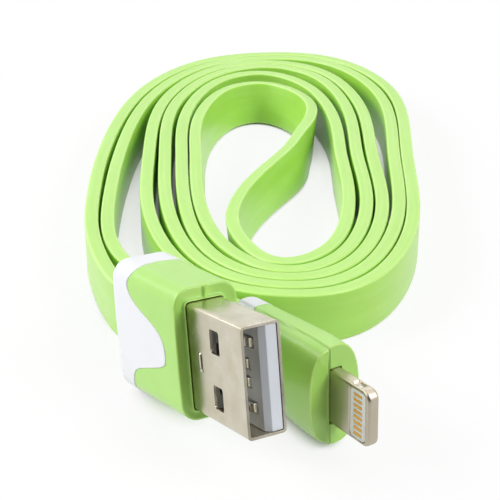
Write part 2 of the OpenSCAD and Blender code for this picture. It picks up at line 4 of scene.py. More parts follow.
import bpy
import numpy as np
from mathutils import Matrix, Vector

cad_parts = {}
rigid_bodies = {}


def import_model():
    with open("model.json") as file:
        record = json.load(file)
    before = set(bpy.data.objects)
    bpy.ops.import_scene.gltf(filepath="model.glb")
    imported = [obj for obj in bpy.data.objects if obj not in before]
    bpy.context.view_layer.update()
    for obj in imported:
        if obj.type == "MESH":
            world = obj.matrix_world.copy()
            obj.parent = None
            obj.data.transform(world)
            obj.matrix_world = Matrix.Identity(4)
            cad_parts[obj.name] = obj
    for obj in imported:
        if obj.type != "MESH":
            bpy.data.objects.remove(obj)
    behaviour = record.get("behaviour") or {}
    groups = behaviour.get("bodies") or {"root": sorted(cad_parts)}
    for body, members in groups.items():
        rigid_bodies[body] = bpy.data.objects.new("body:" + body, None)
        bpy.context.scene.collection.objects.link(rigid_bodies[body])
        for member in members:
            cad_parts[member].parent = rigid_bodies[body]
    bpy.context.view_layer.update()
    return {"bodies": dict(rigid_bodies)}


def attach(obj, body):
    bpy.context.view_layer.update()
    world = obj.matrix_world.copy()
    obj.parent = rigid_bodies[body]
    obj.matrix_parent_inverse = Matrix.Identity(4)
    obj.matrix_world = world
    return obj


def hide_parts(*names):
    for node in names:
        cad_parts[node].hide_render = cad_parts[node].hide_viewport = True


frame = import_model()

mm = 0.001
body = list(frame["bodies"])[0]
scene = bpy.context.scene


# Hex code of a screen colour to Blender's linear colour: the screen's curve undone, part by part
def linear(code):
    parts = np.array([int(code[i:i + 2], 16) for i in (1, 3, 5)]) / 255
    return (*np.where(parts <= 0.04045, parts / 12.92, ((parts + 0.055) / 1.055) ** 2.4), 1.0)


# Camera: place in millimetres, lens and sensor too, near limit in metres
camera = dict(place=(-1.1, -179.37, 88.1), pitch=63.4, lens=100, sensor=36, near=0.01)
cameraData = bpy.data.cameras.new("productCamera")
cameraData.lens = camera["lens"]
cameraData.sensor_width = camera["sensor"]
cameraData.clip_start = camera["near"]
cameraObject = bpy.data.objects.new("productCamera", cameraData)
cameraObject.location = np.array(camera["place"]) * mm
cameraObject.rotation_euler = (math.radians(camera["pitch"]), 0, 0)
scene.collection.objects.link(cameraObject)
scene.camera = cameraObject
print("camera set")


# Faces of a grid whose rows are closed rings; the last row joins the first if closeRows
def gridFaces(rows, columns, closeRows=False):
    r = np.arange(rows if closeRows else rows - 1)[:, None]
    c = np.arange(columns)[None, :]
    r2, c2 = (r + 1) % rows, (c + 1) % columns
    corners = [r * columns + c, r * columns + c2, r2 * columns + c2, r2 * columns + c]
    return np.stack([np.broadcast_to(k, (r.size, c.size)) for k in corners], axis=-1).reshape(-1, 4)


# Six times the volume inside a mesh: below zero where its faces point inwards
def signedVolume(points, faces):
    a, b, c, d = (points[faces[:, i]] for i in range(4))
    return (np.cross(a, b) * c).sum() + (np.cross(a, c) * d).sum()


# Makes a mesh object of points in metres and four-cornered faces, and turns the faces outwards
def meshObject(name, points, faces, material, uv=None):
    mesh = bpy.data.meshes.new(name)
    if signedVolume(points, faces) < 0:
        faces = faces[:, ::-1]
        uv = None if uv is None else uv[:, ::-1]
    mesh.from_pydata(points.tolist(), [], faces.tolist())
    mesh.polygons.foreach_set("use_smooth", np.full(len(faces), True))
    if uv is not None:
        mesh.uv_layers.new(name="along").data.foreach_set("uv", uv.reshape(-1))
    mesh.materials.append(material)
    mesh.update()
    thing = bpy.data.objects.new(name, mesh)
    scene.collection.objects.link(thing)
    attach(thing, body)
    return thing


# Marks where a mesh gets a painted highlight along its thin edges, for its material
def markHighlight(thing, values):
    thing.data.attributes.new("edge", "FLOAT", "POINT").data.foreach_set("value", np.ravel(values))


# Adds one node, sets its sockets or properties, and links what feeds it
def addNode(tree, kind, settings=None, links=None):
    node = tree.nodes.new(kind)
    for key, value in (settings or {}).items():
        if isinstance(key, int) or key in node.inputs:
            node.inputs[key].default_value = value
        else:
            setattr(node, key, value)
    for key, source in (links or {}).items():
        tree.links.new(source, node.inputs[key])
    return node


# A material with a Principled shader; the look's own nodes are added to its tree
def newMaterial(name, colour, roughness, metallic=0.0, **sockets):
    material = bpy.data.materials.new(name)
    material.use_nodes = True
    tree = material.node_tree
    shader = next(n for n in tree.nodes if n.type == "BSDF_PRINCIPLED")
    shader.inputs["Base Color"].default_value = linear(colour)
    shader.inputs["Roughness"].default_value = roughness
    shader.inputs["Metallic"].default_value = metallic
    for key, value in sockets.items():
        shader.inputs[key].default_value = value
    return material, tree, shader


# Mottles a colour between two hex codes and a roughness between two values, with a fine bump.
# Real moulds and platings have a grain of some hundredths of a millimetre, which is too fine to show, so
# bumpSize draws it coarser. A mix node takes its colours at 6 and 7, and gives one at 2
def mottle(tree, shader, colours, roughness, size, bump, bumpSize):
    where = addNode(tree, "ShaderNodeTexCoord").outputs["Object"]
    patches = addNode(tree, "ShaderNodeTexNoise", {"Scale": 1 / size, "Detail": 3.0}, {"Vector": where})
    tint = addNode(tree, "ShaderNodeMix",
                   {"data_type": "RGBA", 6: linear(colours[0]), 7: linear(colours[1])},
                   {0: patches.outputs[0]}).outputs[2]
    gloss = addNode(tree, "ShaderNodeMapRange", {"To Min": roughness[0], "To Max": roughness[1]},
                    {"Value": patches.outputs[0]})
    grain = addNode(tree, "ShaderNodeTexNoise", {"Scale": 1 / bumpSize, "Detail": 2.0}, {"Vector": where})
    relief = addNode(tree, "ShaderNodeBump", {"Strength": 1.0, "Distance": bump},
                     {"Height": grain.outputs[0]})
    tree.links.new(tint, shader.inputs["Base Color"])
    tree.links.new(gloss.outputs[0], shader.inputs["Roughness"])
    tree.links.new(relief.outputs[0], shader.inputs["Normal"])
    return tint


# Lays a paler colour over a tint where the mesh marks it: a painted highlight on its thin edges
def paleEdge(tree, shader, tint, colour):
    highlightMask = addNode(tree, "ShaderNodeAttribute", {"attribute_name": "edge"})
    paler = addNode(tree, "ShaderNodeMix", {"data_type": "RGBA", 7: linear(colour)},
                    {0: highlightMask.outputs["Fac"], 6: tint})
    tree.links.new(paler.outputs[2], shader.inputs["Base Color"])


# Soft TPE ribbon, extruded: satin, with faint lines along its length and a painted highlight along its round
# edges. The lines are some 20 mm long and half a millimetre wide, coarser than a die's own marks, which are
# too fine to show
ribbonGreen, tree, shader = newMaterial(
    "extrudedGreenTpe", "#a5d755", 0.38, **{
        "Coat Weight": 0.5, "Coat Roughness": 0.4, "Subsurface Weight": 0.4,
        "Subsurface Scale": 1.6 * mm, "Subsurface Radius": (0.8, 1.0, 0.3),
    })
tint = mottle(tree, shader, ("#a0d34e", "#aadb5c"), (0.34, 0.42), 6 * mm, 0.01 * mm, 0.3 * mm)
lengthwise = addNode(tree, "ShaderNodeMapping", {"Scale": (45, 34, 1)},
                     {"Vector": addNode(tree, "ShaderNodeUVMap", {"uv_map": "along"}).outputs[0]})
streaks = addNode(tree, "ShaderNodeTexNoise", {"Scale": 1.0, "Detail": 3.0},
                  {"Vector": lengthwise.outputs[0]})
faint = addNode(tree, "ShaderNodeMapRange", {"From Min": 0.45, "From Max": 0.75, "To Max": 0.35},
                {"Value": streaks.outputs[0]})
streaked = addNode(tree, "ShaderNodeMix", {"data_type": "RGBA", 7: linear("#bbe586")},
                   {0: faint.outputs[0], 6: tint})
# Painted highlight along the ribbon's round edges
paleEdge(tree, shader, streaked.outputs[2], "#c9ee92")

# TPE of the mouldings: the same green with the soft gloss of a polished mould, with painted highlights at its
# front edges
mouldGreen, tree, shader = newMaterial("mouldedGreenTpe", "#a5d864", 0.34,
                                       **{"Coat Weight": 0.3, "Coat Roughness": 0.36})
tint = mottle(tree, shader, ("#a0d45d", "#aadc6b"), (0.3, 0.38), 4 * mm, 0.008 * mm, 0.25 * mm)
# Painted highlight where the mouldings mark their front edges
paleEdge(tree, shader, tint, "#cbed84")

# Second shot of white ABS, satin from its mould
coverWhite, tree, shader = newMaterial("mouldedWhiteAbs", "#e4e5ea", 0.42)
mottle(tree, shader, ("#e1e2e7", "#e7e8ec"), (0.38, 0.46), 4 * mm, 0.008 * mm, 0.25 * mm)

# Nickel plated steel sheet, folded: bright and warm, with soft clouds in its reflections
shellSteel, tree, shader = newMaterial("nickelPlatedSteel", "#cbc4ae", 0.3, 1.0)
mottle(tree, shader, ("#b5ab8d", "#e0dccf"), (0.16, 0.33), 3 * mm, 0.003 * mm, 0.1 * mm)

# Bead blasted stainless steel: a warm grey that spreads its highlights
tongueSteel, tree, shader = newMaterial("blastedStainless", "#b9b09c", 0.34, 1.0)
mottle(tree, shader, ("#b3aa96", "#c0b8a6"), (0.3, 0.38), 2 * mm, 0.004 * mm, 0.06 * mm)

# White PBT of the wide plug's insulator: a cool white with a soft gloss
insulatorWhite, tree, shader = newMaterial("mouldedWhitePbt", "#dde2e9", 0.32)
mottle(tree, shader, ("#d9dee5", "#e1e6ec"), (0.28, 0.36), 3 * mm, 0.004 * mm, 0.1 * mm)

# White glass filled LCP around the small contacts: bright white and nearly matt
insertLcp, tree, shader = newMaterial("mouldedWhiteLcp", "#fafcfa", 0.4)
mottle(tree, shader, ("#f6f8f6", "#fdfefd"), (0.36, 0.46), 1 * mm, 0.003 * mm, 0.08 * mm)

# Tin plated bronze of the spring contacts: nearly as bright as a mirror
contactTin, tree, shader = newMaterial("tinPlatedBronze", "#f3f1ed", 0.14, 1.0)
mottle(tree, shader, ("#ebe9e4", "#f8f7f4"), (0.1, 0.2), 1 * mm, 0.002 * mm, 0.05 * mm)

# Gold flash over nickel on the small contacts: a deep yellow with a soft shine
contactGold, tree, shader = newMaterial("goldPlatedContact", "#d2a144", 0.24, 1.0)
mottle(tree, shader, ("#c8953a", "#dcae56"), (0.2, 0.3), 0.6 * mm, 0.002 * mm, 0.05 * mm)

# Hidden pieces: satin solder, drawn copper, red PVC, milky PE of the inner moulds, and the circuit's
# green laminate, matt black epoxy and tan ceramic
solderTin, tree, shader = newMaterial("meltedSolder", "#b4b6b8", 0.3, 1.0)
mottle(tree, shader, ("#aaacaf", "#bfc1c3"), (0.22, 0.38), 0.8 * mm, 0.01 * mm, 0.3 * mm)
wireCopper, tree, shader = newMaterial("drawnCopper", "#c77c4c", 0.3, 1.0)
mottle(tree, shader, ("#bd7243", "#d08a5c"), (0.25, 0.36), 0.8 * mm, 0.003 * mm, 0.05 * mm)
wirePvc, tree, shader = newMaterial("extrudedRedPvc", "#b8362c", 0.4)
mottle(tree, shader, ("#b23128", "#c03d33"), (0.36, 0.44), 2 * mm, 0.004 * mm, 0.1 * mm)
innerPe, tree, shader = newMaterial("mouldedNaturalPe", "#e6e2d4", 0.5)
mottle(tree, shader, ("#e0dccd", "#ebe7db"), (0.46, 0.56), 3 * mm, 0.01 * mm, 0.2 * mm)
boardLaminate, tree, shader = newMaterial("maskedLaminate", "#1d5a36", 0.36)
mottle(tree, shader, ("#1a5431", "#22633d"), (0.3, 0.42), 0.5 * mm, 0.006 * mm, 0.1 * mm)
chipEpoxy, tree, shader = newMaterial("mouldedBlackEpoxy", "#26272a", 0.5)
mottle(tree, shader, ("#222326", "#2c2d31"), (0.46, 0.56), 0.8 * mm, 0.004 * mm, 0.06 * mm)
ceramicTan, tree, shader = newMaterial("firedCeramic", "#b79a72", 0.45)
mottle(tree, shader, ("#ae9068", "#c0a47e"), (0.4, 0.5), 0.4 * mm, 0.003 * mm, 0.05 * mm)
print("materials made")


# Route of the ribbon, in millimetres before the layout's own move

ribbon = dict(height=7.0, thickness=1.9, round=0.28, perPiece=14, perCorner=5, perSide=(4, 2), pale=0.55)
layout = np.array([-1.1, -179.37, 0.0])
host = dict(tip=(1.4, 118.7, 14.0), turn=30.0, rise=13.6, lean=3.0, back=28.5)
device = dict(tip=(13.0, 122.0, 7.0), turn=32.8, rise=4.0, lean=1.4, back=25.2)
coil = dict(middle=(3.0, 195.0), stretch=2.0, step=30.0, first=90.0, second=270.0)
reachFirst = [
    16.6, 16.9, 14.1, 11.1, 12.6, 17.0, 20.3, 20.4, 16.6, 12.8, 16.1, 20.7,
    21.1, 21.1, 19.6, 15.8, 17.7, 21.4, 21.9, 23.7, 21.5, 18.4, 24.2, 25.3,
    22.7, 24.2, 24.5, 23.0,
]
reachSecond = [
    19.1, 18.7, 13.4, 10.5, 12.9, 17.1, 19.4, 19.5, 16.6, 13.3, 14.8, 19.6,
    21.0, 22.1, 19.2, 15.1, 18.9, 22.5, 21.9, 22.7, 21.9, 18.3, 20.8, 23.2,
    22.8, 25.3, 23.8, 20.3, 27.0, 26.6, 23.7, 25.5, 26.8, 25.6,
]
middleBend = [
    (10.2, 219.9), (10.4, 211.4), (8.0, 204.8), (6.4, 198.7),
    (3.4, 192.2), (-0.6, 183.9), (-3.1, 173.3), (-1.5, 165.4),
]
# Ways from the coil to the plugs: place, and how far the ribbon has turned to its plug, from 0 to 1
hostWay = [
    (-22.4, 183.0, 3.5, 0), (-21.9, 170.5, 3.5, 0), (-19.6, 160.5, 3.9, 0.35), (-17.6, 154.0, 4.7, 0.8),
]
deviceWay = [
    (-20.0, 183.0, 3.5, 0), (-19.7, 171.0, 3.5, 0), (-17.9, 162.0, 3.6, 0.1), (-14.2, 155.5, 3.9, 0.4),
    (-9.2, 151.4, 4.4, 0.75),
]
# Lean of the free bend: key of the route, and how far its foot stands out to the left of its top
footLean = np.array([
    (31, 0), (32, -0.4), (33, -0.8), (34, -1.0), (35, -1.3), (36, -1.6), (37, -0.7),
    (38, 0.6), (39, 1.9), (40, 1.4), (41, 1.1), (42, 0.9), (43, 0.5), (44, 0),
])
exitOrder = (-1, 0, 1)


# The three axes of a plug as columns: across its thickness, back from its tip, across its width.
# They are the frame's axes turned about Y by the lean, then about X by the rise, then about Z
def plugAxes(plug):
    a, b, c = (math.radians(plug[k]) for k in ("turn", "rise", "lean"))
    turn = np.array([[math.cos(a), -math.sin(a), 0], [math.sin(a), math.cos(a), 0], [0, 0, 1]])
    rise = np.array([[1, 0, 0], [0, math.cos(b), math.sin(b)], [0, -math.sin(b), math.cos(b)]])
    lean = np.array([[math.cos(c), 0, math.sin(c)], [0, 1, 0], [-math.sin(c), 0, math.cos(c)]])
    return turn @ rise @ lean


# Points in a plug's own axes, in millimetres, to the frame in metres: axes * point + tip + layout
def placed(points, plug):
    return (np.asarray(points, float) @ plugAxes(plug).T + np.array(plug["tip"]) + layout) * mm


# Points on the stretched plan: middle + reach * (cos, stretch * sin), a step apart
def armPoints(reach, start):
    angle = np.radians(start + coil["step"] * np.arange(len(reach)))
    reach = np.array(reach)
    x = coil["middle"][0] + reach * np.cos(angle)
    y = coil["middle"][1] + coil["stretch"] * reach * np.sin(angle)
    return np.stack([x, y, np.full(len(reach), ribbon["height"] / 2), np.zeros(len(reach))], axis=1)


# Three points straight through a plug's cord end, one ribbon height apart
def exitPoints(plug, order):
    axes = plugAxes(plug)
    behind = plug["back"] + ribbon["height"] * np.array(order)
    return np.column_stack([np.array(plug["tip"]) + behind[:, None] * axes[:, 1], np.ones(len(order))])


keys = np.concatenate([
    exitPoints(device, exitOrder), np.array(deviceWay)[::-1], armPoints(reachFirst, coil["first"])[::-1],
    [(x, y, ribbon["height"] / 2, 0) for x, y in middleBend],
    armPoints(reachSecond, coil["second"]), np.array(hostWay), exitPoints(host, exitOrder[::-1]),
])
hostFrom = len(exitOrder) + len(deviceWay) + len(reachFirst) + len(middleBend)    # first key of the host's arm


# Uniform cubic B-spline near the keys: the place is four keys by their weights / 6, and the direction
# is its derivative
def alongKeys(at):
    i = np.clip(np.floor(at).astype(int), 1, len(keys) - 3)
    t = (at - i)[:, None]
    near = [keys[i + k] for k in (-1, 0, 1, 2)]
    weights = [(1 - t) ** 3, 3 * t ** 3 - 6 * t ** 2 + 4, 1 + 3 * t + 3 * t ** 2 - 3 * t ** 3, t ** 3]
    slopes = [-(1 - t) ** 2, 3 * t ** 2 - 4 * t, 1 + 2 * t - 3 * t ** 2, t ** 2]
    place = sum(w * key for w, key in zip(weights, near)) / 6
    return place, sum(w * key for w, key in zip(slopes, near))[:, :3]


# Vectors divided by their length
def unit(v):
    return v / np.linalg.norm(v, axis=-1, keepdims=True)


# Outline of a rectangle with round corners, anticlockwise from the upper end of its right side.
# perSide counts the pieces of the upright sides and of the level ones
def roundRectangle(halfX, halfY, radius, perCorner, perSide):
    corners = []
    for k, (sx, sy) in enumerate([(1, 1), (-1, 1), (-1, -1), (1, -1)]):
        angle = np.radians(90 * k + np.linspace(0, 90, perCorner + 1))
        centre = np.array([sx * (halfX - radius), sy * (halfY - radius)])
        corners.append(centre + radius * np.stack([np.cos(angle), np.sin(angle)], axis=1))
    outline = []
    for k in range(4):
        start, end = corners[k][-1], corners[(k + 1) % 4][0]
        pieces = perSide[1] if k % 2 == 0 else perSide[0]
        outline += [corners[k], start + (end - start) * np.linspace(0, 1, pieces + 1)[1:-1, None]]
    return np.concatenate(outline)


# The ribbon: a round-edged flat section carried along the route, its height along the lift.
# The lift is upright on the floor and turns to the plug's own width at each end
lastKey = len(keys) - 2
at = np.linspace(1, lastKey, (lastKey - 1) * ribbon["perPiece"] + 1)
line, heading = alongKeys(at)
heading = unit(heading)
tilt = line[:, 3:4]
upright = np.array([0, 0, 1.0])
plugUp = np.where(at[:, None] > hostFrom, plugAxes(host)[:, 2], plugAxes(device)[:, 2])
lift = unit(upright * (1 - tilt) + plugUp * tilt)

# Lean: the foot's offset is smoothed over one key to each side, and its sine is offset / height.
# The middle goes half as far and sinks with the cosine, and the lower corner stays on the floor
bell = np.hanning(2 * ribbon["perPiece"] + 1)
foot = np.convolve(np.interp(at, *footLean.T), bell / bell.sum(), "same")[:, None]
leftward = unit(np.stack([-heading[:, 1], heading[:, 0], 0 * at], axis=1))
sine = foot / ribbon["height"]
cosine = np.sqrt(1 - sine ** 2)
lift = unit(lift * cosine - leftward * sine)
drop = upright * (cosine - 1) * ribbon["height"] / 2
raised = upright * np.abs(sine) * ribbon["thickness"] / 2
centres = (line[:, :3] + leftward * foot / 2 + drop + raised + layout) * mm

side = unit(np.cross(heading, lift))
up = np.cross(side, heading)
section = roundRectangle(ribbon["thickness"] / 2, ribbon["height"] / 2, ribbon["round"],
                         ribbon["perCorner"], ribbon["perSide"])
count = len(section)
rings = centres[:, None] + (side[:, None] * section[None, :, :1] + up[:, None] * section[None, :, 1:]) * mm
faces = gridFaces(len(rings), count)

# Map of the ribbon: metres along it, and the share of the way round it
along = np.concatenate([[0], np.cumsum(np.linalg.norm(np.diff(centres, axis=0), axis=1))])
ring, around = np.divmod(np.arange(len(faces)), count)
uv = np.stack([
    np.stack([along[ring + ahead], (around + beside) / count], axis=1)
    for ahead, beside in ((0, 0), (0, 1), (1, 1), (1, 0))
], axis=1)
ribbonCord = meshObject("ribbonCord", rings.reshape(-1, 3), faces, ribbonGreen, uv=uv)

# The four round corners are its thin edges, and get a painted highlight
cornerPoints = ribbon["perCorner"] + 1
sidePoints = np.array(ribbon["perSide"])[[1, 0, 1]] - 1
starts = np.concatenate([[0], np.cumsum(cornerPoints + sidePoints)])
highlightMarks = np.zeros(count)
highlightMarks[(starts[:, None] + np.arange(1, cornerPoints - 1)).ravel()] = ribbon["pale"]
markHighlight(ribbonCord, np.tile(highlightMarks, len(rings)))
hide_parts("cord_coil", "host_lead", "device_lead")
print("ribbon", round(along[-1], 4), "m,", len(faces) * 2, "triangles")


# Tools for closed mouldings: a skin of rows that starts and ends inside the same hole.
# Rows are in a plug's own axes: X across its thickness, Y back from its tip, Z across its width

# Outward normals of a closed outline: the step past each point, turned a quarter to the right
def outlineNormals(outline):
    step = np.roll(outline, -1, axis=0) - np.roll(outline, 1, axis=0)
    return unit(np.stack([step[:, 1], -step[:, 0]], axis=1))


# Smooths values round a closed outline with a bell of the given width in columns
def smoothRound(values, width):
    reach = np.arange(-int(3 * width), int(3 * width) + 1)
    bell = np.exp(-(reach / width) ** 2 / 2)
    return sum(np.roll(values, k) * w for k, w in zip(reach, bell / bell.sum()))


# Runs smoothly from 0 to 1 as a value goes from one limit to the other: 3 t^2 - 2 t^3
def easeBetween(value, low, high):
    t = np.clip((value - low) / (high - low), 0, 1)
    return t * t * (3 - 2 * t)


# Angles of a quarter round in equal steps, without the first
def quarterSteps(steps):
    return np.radians(np.linspace(0, 90, steps + 1))[1:]


# Shares from 0 to 1 in equal steps, without the first
def shares(steps):
    return np.linspace(0, 1, steps + 1)[1:]


# One row of a skin: an outline in X and Z, and how far back it lies
def row(outline, back):
    return np.stack([outline[:, 0], np.broadcast_to(back, len(outline)), outline[:, 1]], axis=1)


# Mesh object of rows that close on themselves, from a plug's own axes
def skin(name, rows, plug, material):
    points = np.stack(rows)
    faces = gridFaces(*points.shape[:2], closeRows=True)
    return meshObject(name, placed(points.reshape(-1, 3), plug), faces, material)


# Green moulding of the wide plug, in millimetres.
# joint: how far before the white each of the last rows lies, and its inset
grip = dict(
    front=12.1, back=28.5, half=(3.93, 7.48), corner=2.0, perCorner=24, perSide=(96, 60),
    middle=(0.18, 0.18), grow=(0.2, 0.25), shift=(0.15, 0.2), crown=0.16, rim=0.26,
    hole=(2.31, 6.06, 0.45), depths=(6.0, 3.0, 1.2, 0.4), closing=0.7,
    bead=0.17, beadRise=0.17, beadFoot=0.03, dish=0.17, dishSkew=0.45, facePacking=1.4,
    parting=0.05, partingWidth=0.07, ridge=0.3, ridgeAt=0.12, ridgeWidth=0.16,
    ridgeEnd=0.6, ridgeFade=0.5, ridgeClear=0.1, jointFrom=0.06,
    joint=((0.02, 0.03), (0.0, 0.1), (0.0, 0.6)), inlaySmooth=2.2, pale=0.5, rimHighlight=0.3,
    beadRows=9, faceRows=15, rimRows=7, sideRows=45,
)
# Where green meets white, as distance round the section against distance back from the tip. It runs from
# the middle of the upper narrow side to the middle of the lower one, and the other half mirrors it
inlayEdge = np.array([
    (5.07, 24.05), (6.2, 23.8), (7.4, 23.4), (8.2, 23.35), (9.0, 23.75), (9.9, 24.05), (10.7, 23.85),
    (11.35, 23.1), (12.08, 21.6), (12.78, 19.2), (13.4, 17.2), (14.2, 15.8), (15.2, 15.1), (16.31, 14.98),
    (17.33, 15.25), (17.85, 16.6), (18.6, 19.5), (19.3, 22.3), (19.9, 23.7), (20.8, 24.3), (21.5, 24.35),
    (22.4, 24.9), (24.2, 25.0), (26.17, 24.6),
])
gripOutline = roundRectangle(*grip["half"], grip["corner"], grip["perCorner"], grip["perSide"])
gripNormal = outlineNormals(gripOutline)
gripAround = np.concatenate([[0], np.cumsum(np.linalg.norm(np.diff(gripOutline, axis=0), axis=1))])
gripLength = gripAround[-1] + np.linalg.norm(gripOutline[0] - gripOutline[-1])
halfFrom = inlayEdge[0, 0]
onTable = (gripAround >= halfFrom) & (gripAround <= halfFrom + gripLength / 2)
mirrored = np.where(gripAround < halfFrom, 0, gripLength) + 2 * halfFrom - gripAround
gripEdge = np.interp(np.where(onTable, gripAround, mirrored), *inlayEdge.T)
gripEdge = smoothRound(gripEdge, grip["inlaySmooth"])
holeOutline = roundRectangle(*grip["hole"], grip["perCorner"], grip["perSide"])
holeNormal = outlineNormals(holeOutline)


# Outer outline at a distance back, drawn in by an inset; it flares and shifts a little towards the cord.
# The broad sides are crowned: they fall away with the square of the height above the middle
def gripRow(back, inset):
    back = np.broadcast_to(back, len(gripOutline))
    share = ((back - grip["front"]) / (grip["back"] - grip["front"]))[:, None]
    size = 1 + share * np.array(grip["grow"]) / np.array(grip["half"])
    outline = gripOutline * size - gripNormal * np.broadcast_to(inset, len(gripOutline))[:, None]
    outline[:, 0] *= 1 - grip["crown"] / grip["half"][0] * (outline[:, 1] / grip["half"][1]) ** 2
    return row(outline + np.array(grip["middle"]) + share * np.array(grip["shift"]), back)


# Outline of the hole for the shell, moved out along its normals
def holeRow(back, grown):
    return row(holeOutline + holeNormal * grown, back)


# From inside the hole over a half round bead, the hollow front face and the round rim
front, rim = grip["front"], grip["rim"]
greenRows = [holeRow(front + depth, 0.0) for depth in grip["depths"]]
beadFrom = len(greenRows)
greenRows += [holeRow(front - grip["beadRise"] * math.sin(a), grip["bead"] * (1 - math.cos(a)) / 2)
              for a in np.radians(np.linspace(0, 180, grip["beadRows"]))]
faceFrom, faceTo = holeRow(front, grip["bead"] + grip["beadFoot"]), gripRow(front, rim)
for m in np.linspace(0, 1, grip["faceRows"]) ** grip["facePacking"]:
    hollow = grip["dish"] * math.sin(math.pi * m ** grip["dishSkew"])
    greenRows.append(faceFrom + (faceTo - faceFrom) * m + np.array([0, hollow, 0]))
rimFrom = len(greenRows)
greenRows += [gripRow(front + rim * (1 - math.cos(a)), rim * (1 - math.sin(a)))
              for a in quarterSteps(grip["rimRows"])]

# The sides, with a raised thread where the two halves of the mould met: a bell round the middle of both
# narrow sides. Then down into the joint and back to the hole
thread = np.exp(-(np.abs(gripOutline[:, 0]) / grip["partingWidth"]) ** 2) * (np.abs(gripNormal[:, 1]) > 0.9)
sideFrom, sideTo = front + rim, gripEdge - grip["jointFrom"]
greenRows += [gripRow(sideFrom + (sideTo - sideFrom) * m, -grip["parting"] * thread)
              for m in shares(grip["sideRows"])]
greenRows += [gripRow(gripEdge - before, inset) for before, inset in grip["joint"]]
deepest = front + grip["depths"][0]
inner = gripRow(deepest, 0.0)
greenRows.append(inner + (holeRow(deepest, 0.0) - inner) * grip["closing"])

# A short ridge from the bead out over the upper and lower part of the front face, a bell across X
green = np.stack(greenRows)
ahead = np.clip((front + grip["ridgeEnd"] - green[..., 1]) / grip["ridgeFade"], 0, 1)
ahead *= np.abs(green[..., 2]) > grip["hole"][1] + grip["ridgeClear"]
green[..., 1] -= grip["ridge"] * np.exp(-((green[..., 0] - grip["ridgeAt"]) / grip["ridgeWidth"]) ** 2) * ahead
hostGrip = skin("hostGrip", green, host, mouldGreen)
# Painted highlights on the top of the bead and on the middle of the rim's round
highlightMarks = np.zeros(green.shape[:2])
highlightMarks[beadFrom + 3:beadFrom + 7] = grip["pale"]        # top of the bead
highlightMarks[rimFrom + 3:rimFrom + 6] = grip["rimHighlight"]       # middle of the rim's round
markHighlight(hostGrip, highlightMarks)
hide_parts("host_overmould")


# White cap and inlay of the wide plug. Its rows follow the green's edge, then the sides to the round rear
# end and into the cord's hole. edgeRound: how far after the joint each row lies, and its inset
wideCap = dict(
    gap=0.05, proud=0.05, lap=(0.6, 0.1), edgeRound=((0.02, 0.03), (0.07, 0.0)), rearRound=0.9,
    hole=(0.95, 3.6, 0.5), mouth=0.12, depths=(0.1, 1.0, 2.4), closing=1.5,
    sideRows=29, roundRows=11, rearRows=9,
)
cordHole = roundRectangle(*wideCap["hole"], grip["perCorner"], grip["perSide"])
start, back, far = gripEdge + wideCap["gap"], grip["back"], wideCap["rearRound"]
proud = -wideCap["proud"]
sideFrom, sideTo = start + wideCap["edgeRound"][-1][0], back - far
whiteRows = [gripRow(start, inset) for inset in wideCap["lap"]]
whiteRows += [gripRow(start + after, proud + inset) for after, inset in wideCap["edgeRound"]]
whiteRows += [gripRow(sideFrom + (sideTo - sideFrom) * m, proud * (1 - m / 2))
              for m in shares(wideCap["sideRows"])]
whiteRows += [gripRow(sideTo + far * math.sin(a), proud / 2 + far * (1 - math.cos(a)))
              for a in quarterSteps(wideCap["roundRows"])]
rearFrom, rearTo = gripRow(back, far), row(cordHole, back + wideCap["mouth"])
whiteRows += [rearFrom + (rearTo - rearFrom) * m for m in shares(wideCap["rearRows"])]
whiteRows += [row(cordHole, back - depth) for depth in wideCap["depths"]]
whiteRows.append(gripRow(back - wideCap["depths"][-1], wideCap["closing"]))
hostCap = skin("hostCap", whiteRows, host, coverWhite)
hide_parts("host_cover")
print("wide moulding", len(greenRows), len(whiteRows), "rows of", len(gripOutline))


# Green moulding of the small plug: an oval |x / a|^power + |z / b|^power = 1 with even columns.
# The half beyond the seam is lower, hollowed on the front face, with a thread along the seam
nose = dict(
    front=6.8, back=25.2, half=(3.32, 6.05), power=2.5, columns=420, middle=(-0.15, 0.1),
    rear=0.82, bulge=0.05, bulgeRun=(-0.02, 0.2), rim=0.16, rimStretch=1.3,
    seam=0.8, sideBlend=0.04, faceBlend=0.05, step=0.3, lip=0.08, dish=0.2, dishPower=12,
    lipRise=0.05, lipRun=0.03, thread=0.1, threadBeside=0.06, threadWidth=0.07,
    hole=(0.8, 3.4), depths=(3.0, 1.0, 0.3), capFrom=21.35, jointFrom=0.05, lap=(0.06, 0.7),
    closing=(4.0, 1.4), pale=0.45, paleWidth=0.1, sideHighlight=0.6,
    drawn=4000, faceTo=0.9, faceRows=24, lastFaces=(0.94, 0.97, 0.985, 1.0), rimRows=8,
    firstSides=(0.003, 0.01), sideRows=29,
)
turn = np.linspace(0, 2 * math.pi, nose["drawn"] + 1)[:-1]
oval = np.stack([np.sign(f) * np.abs(f) ** (2 / nose["power"]) * half
                 for f, half in zip((np.cos(turn), np.sin(turn)), nose["half"])], axis=1)
walked = np.concatenate([[0], np.cumsum(np.linalg.norm(np.diff(oval, axis=0), axis=1))])
even = np.linspace(0, walked[-1], nose["columns"] + 1)[:-1]
noseOutline = np.stack([np.interp(even, walked, oval[:, 0]), np.interp(even, walked, oval[:, 1])], axis=1)
noseNormal = outlineNormals(noseOutline)


# Rectangular hole with a point in line with each column: the nearer side that a ray from the middle meets
def rayHole(halfX, halfZ):
    rays = unit(noseOutline + 1e-9)
    reachX = halfX / np.maximum(np.abs(rays[:, :1]), 1e-6)
    reachZ = halfZ / np.maximum(np.abs(rays[:, 1:]), 1e-6)
    return rays * np.minimum(reachX, reachZ)


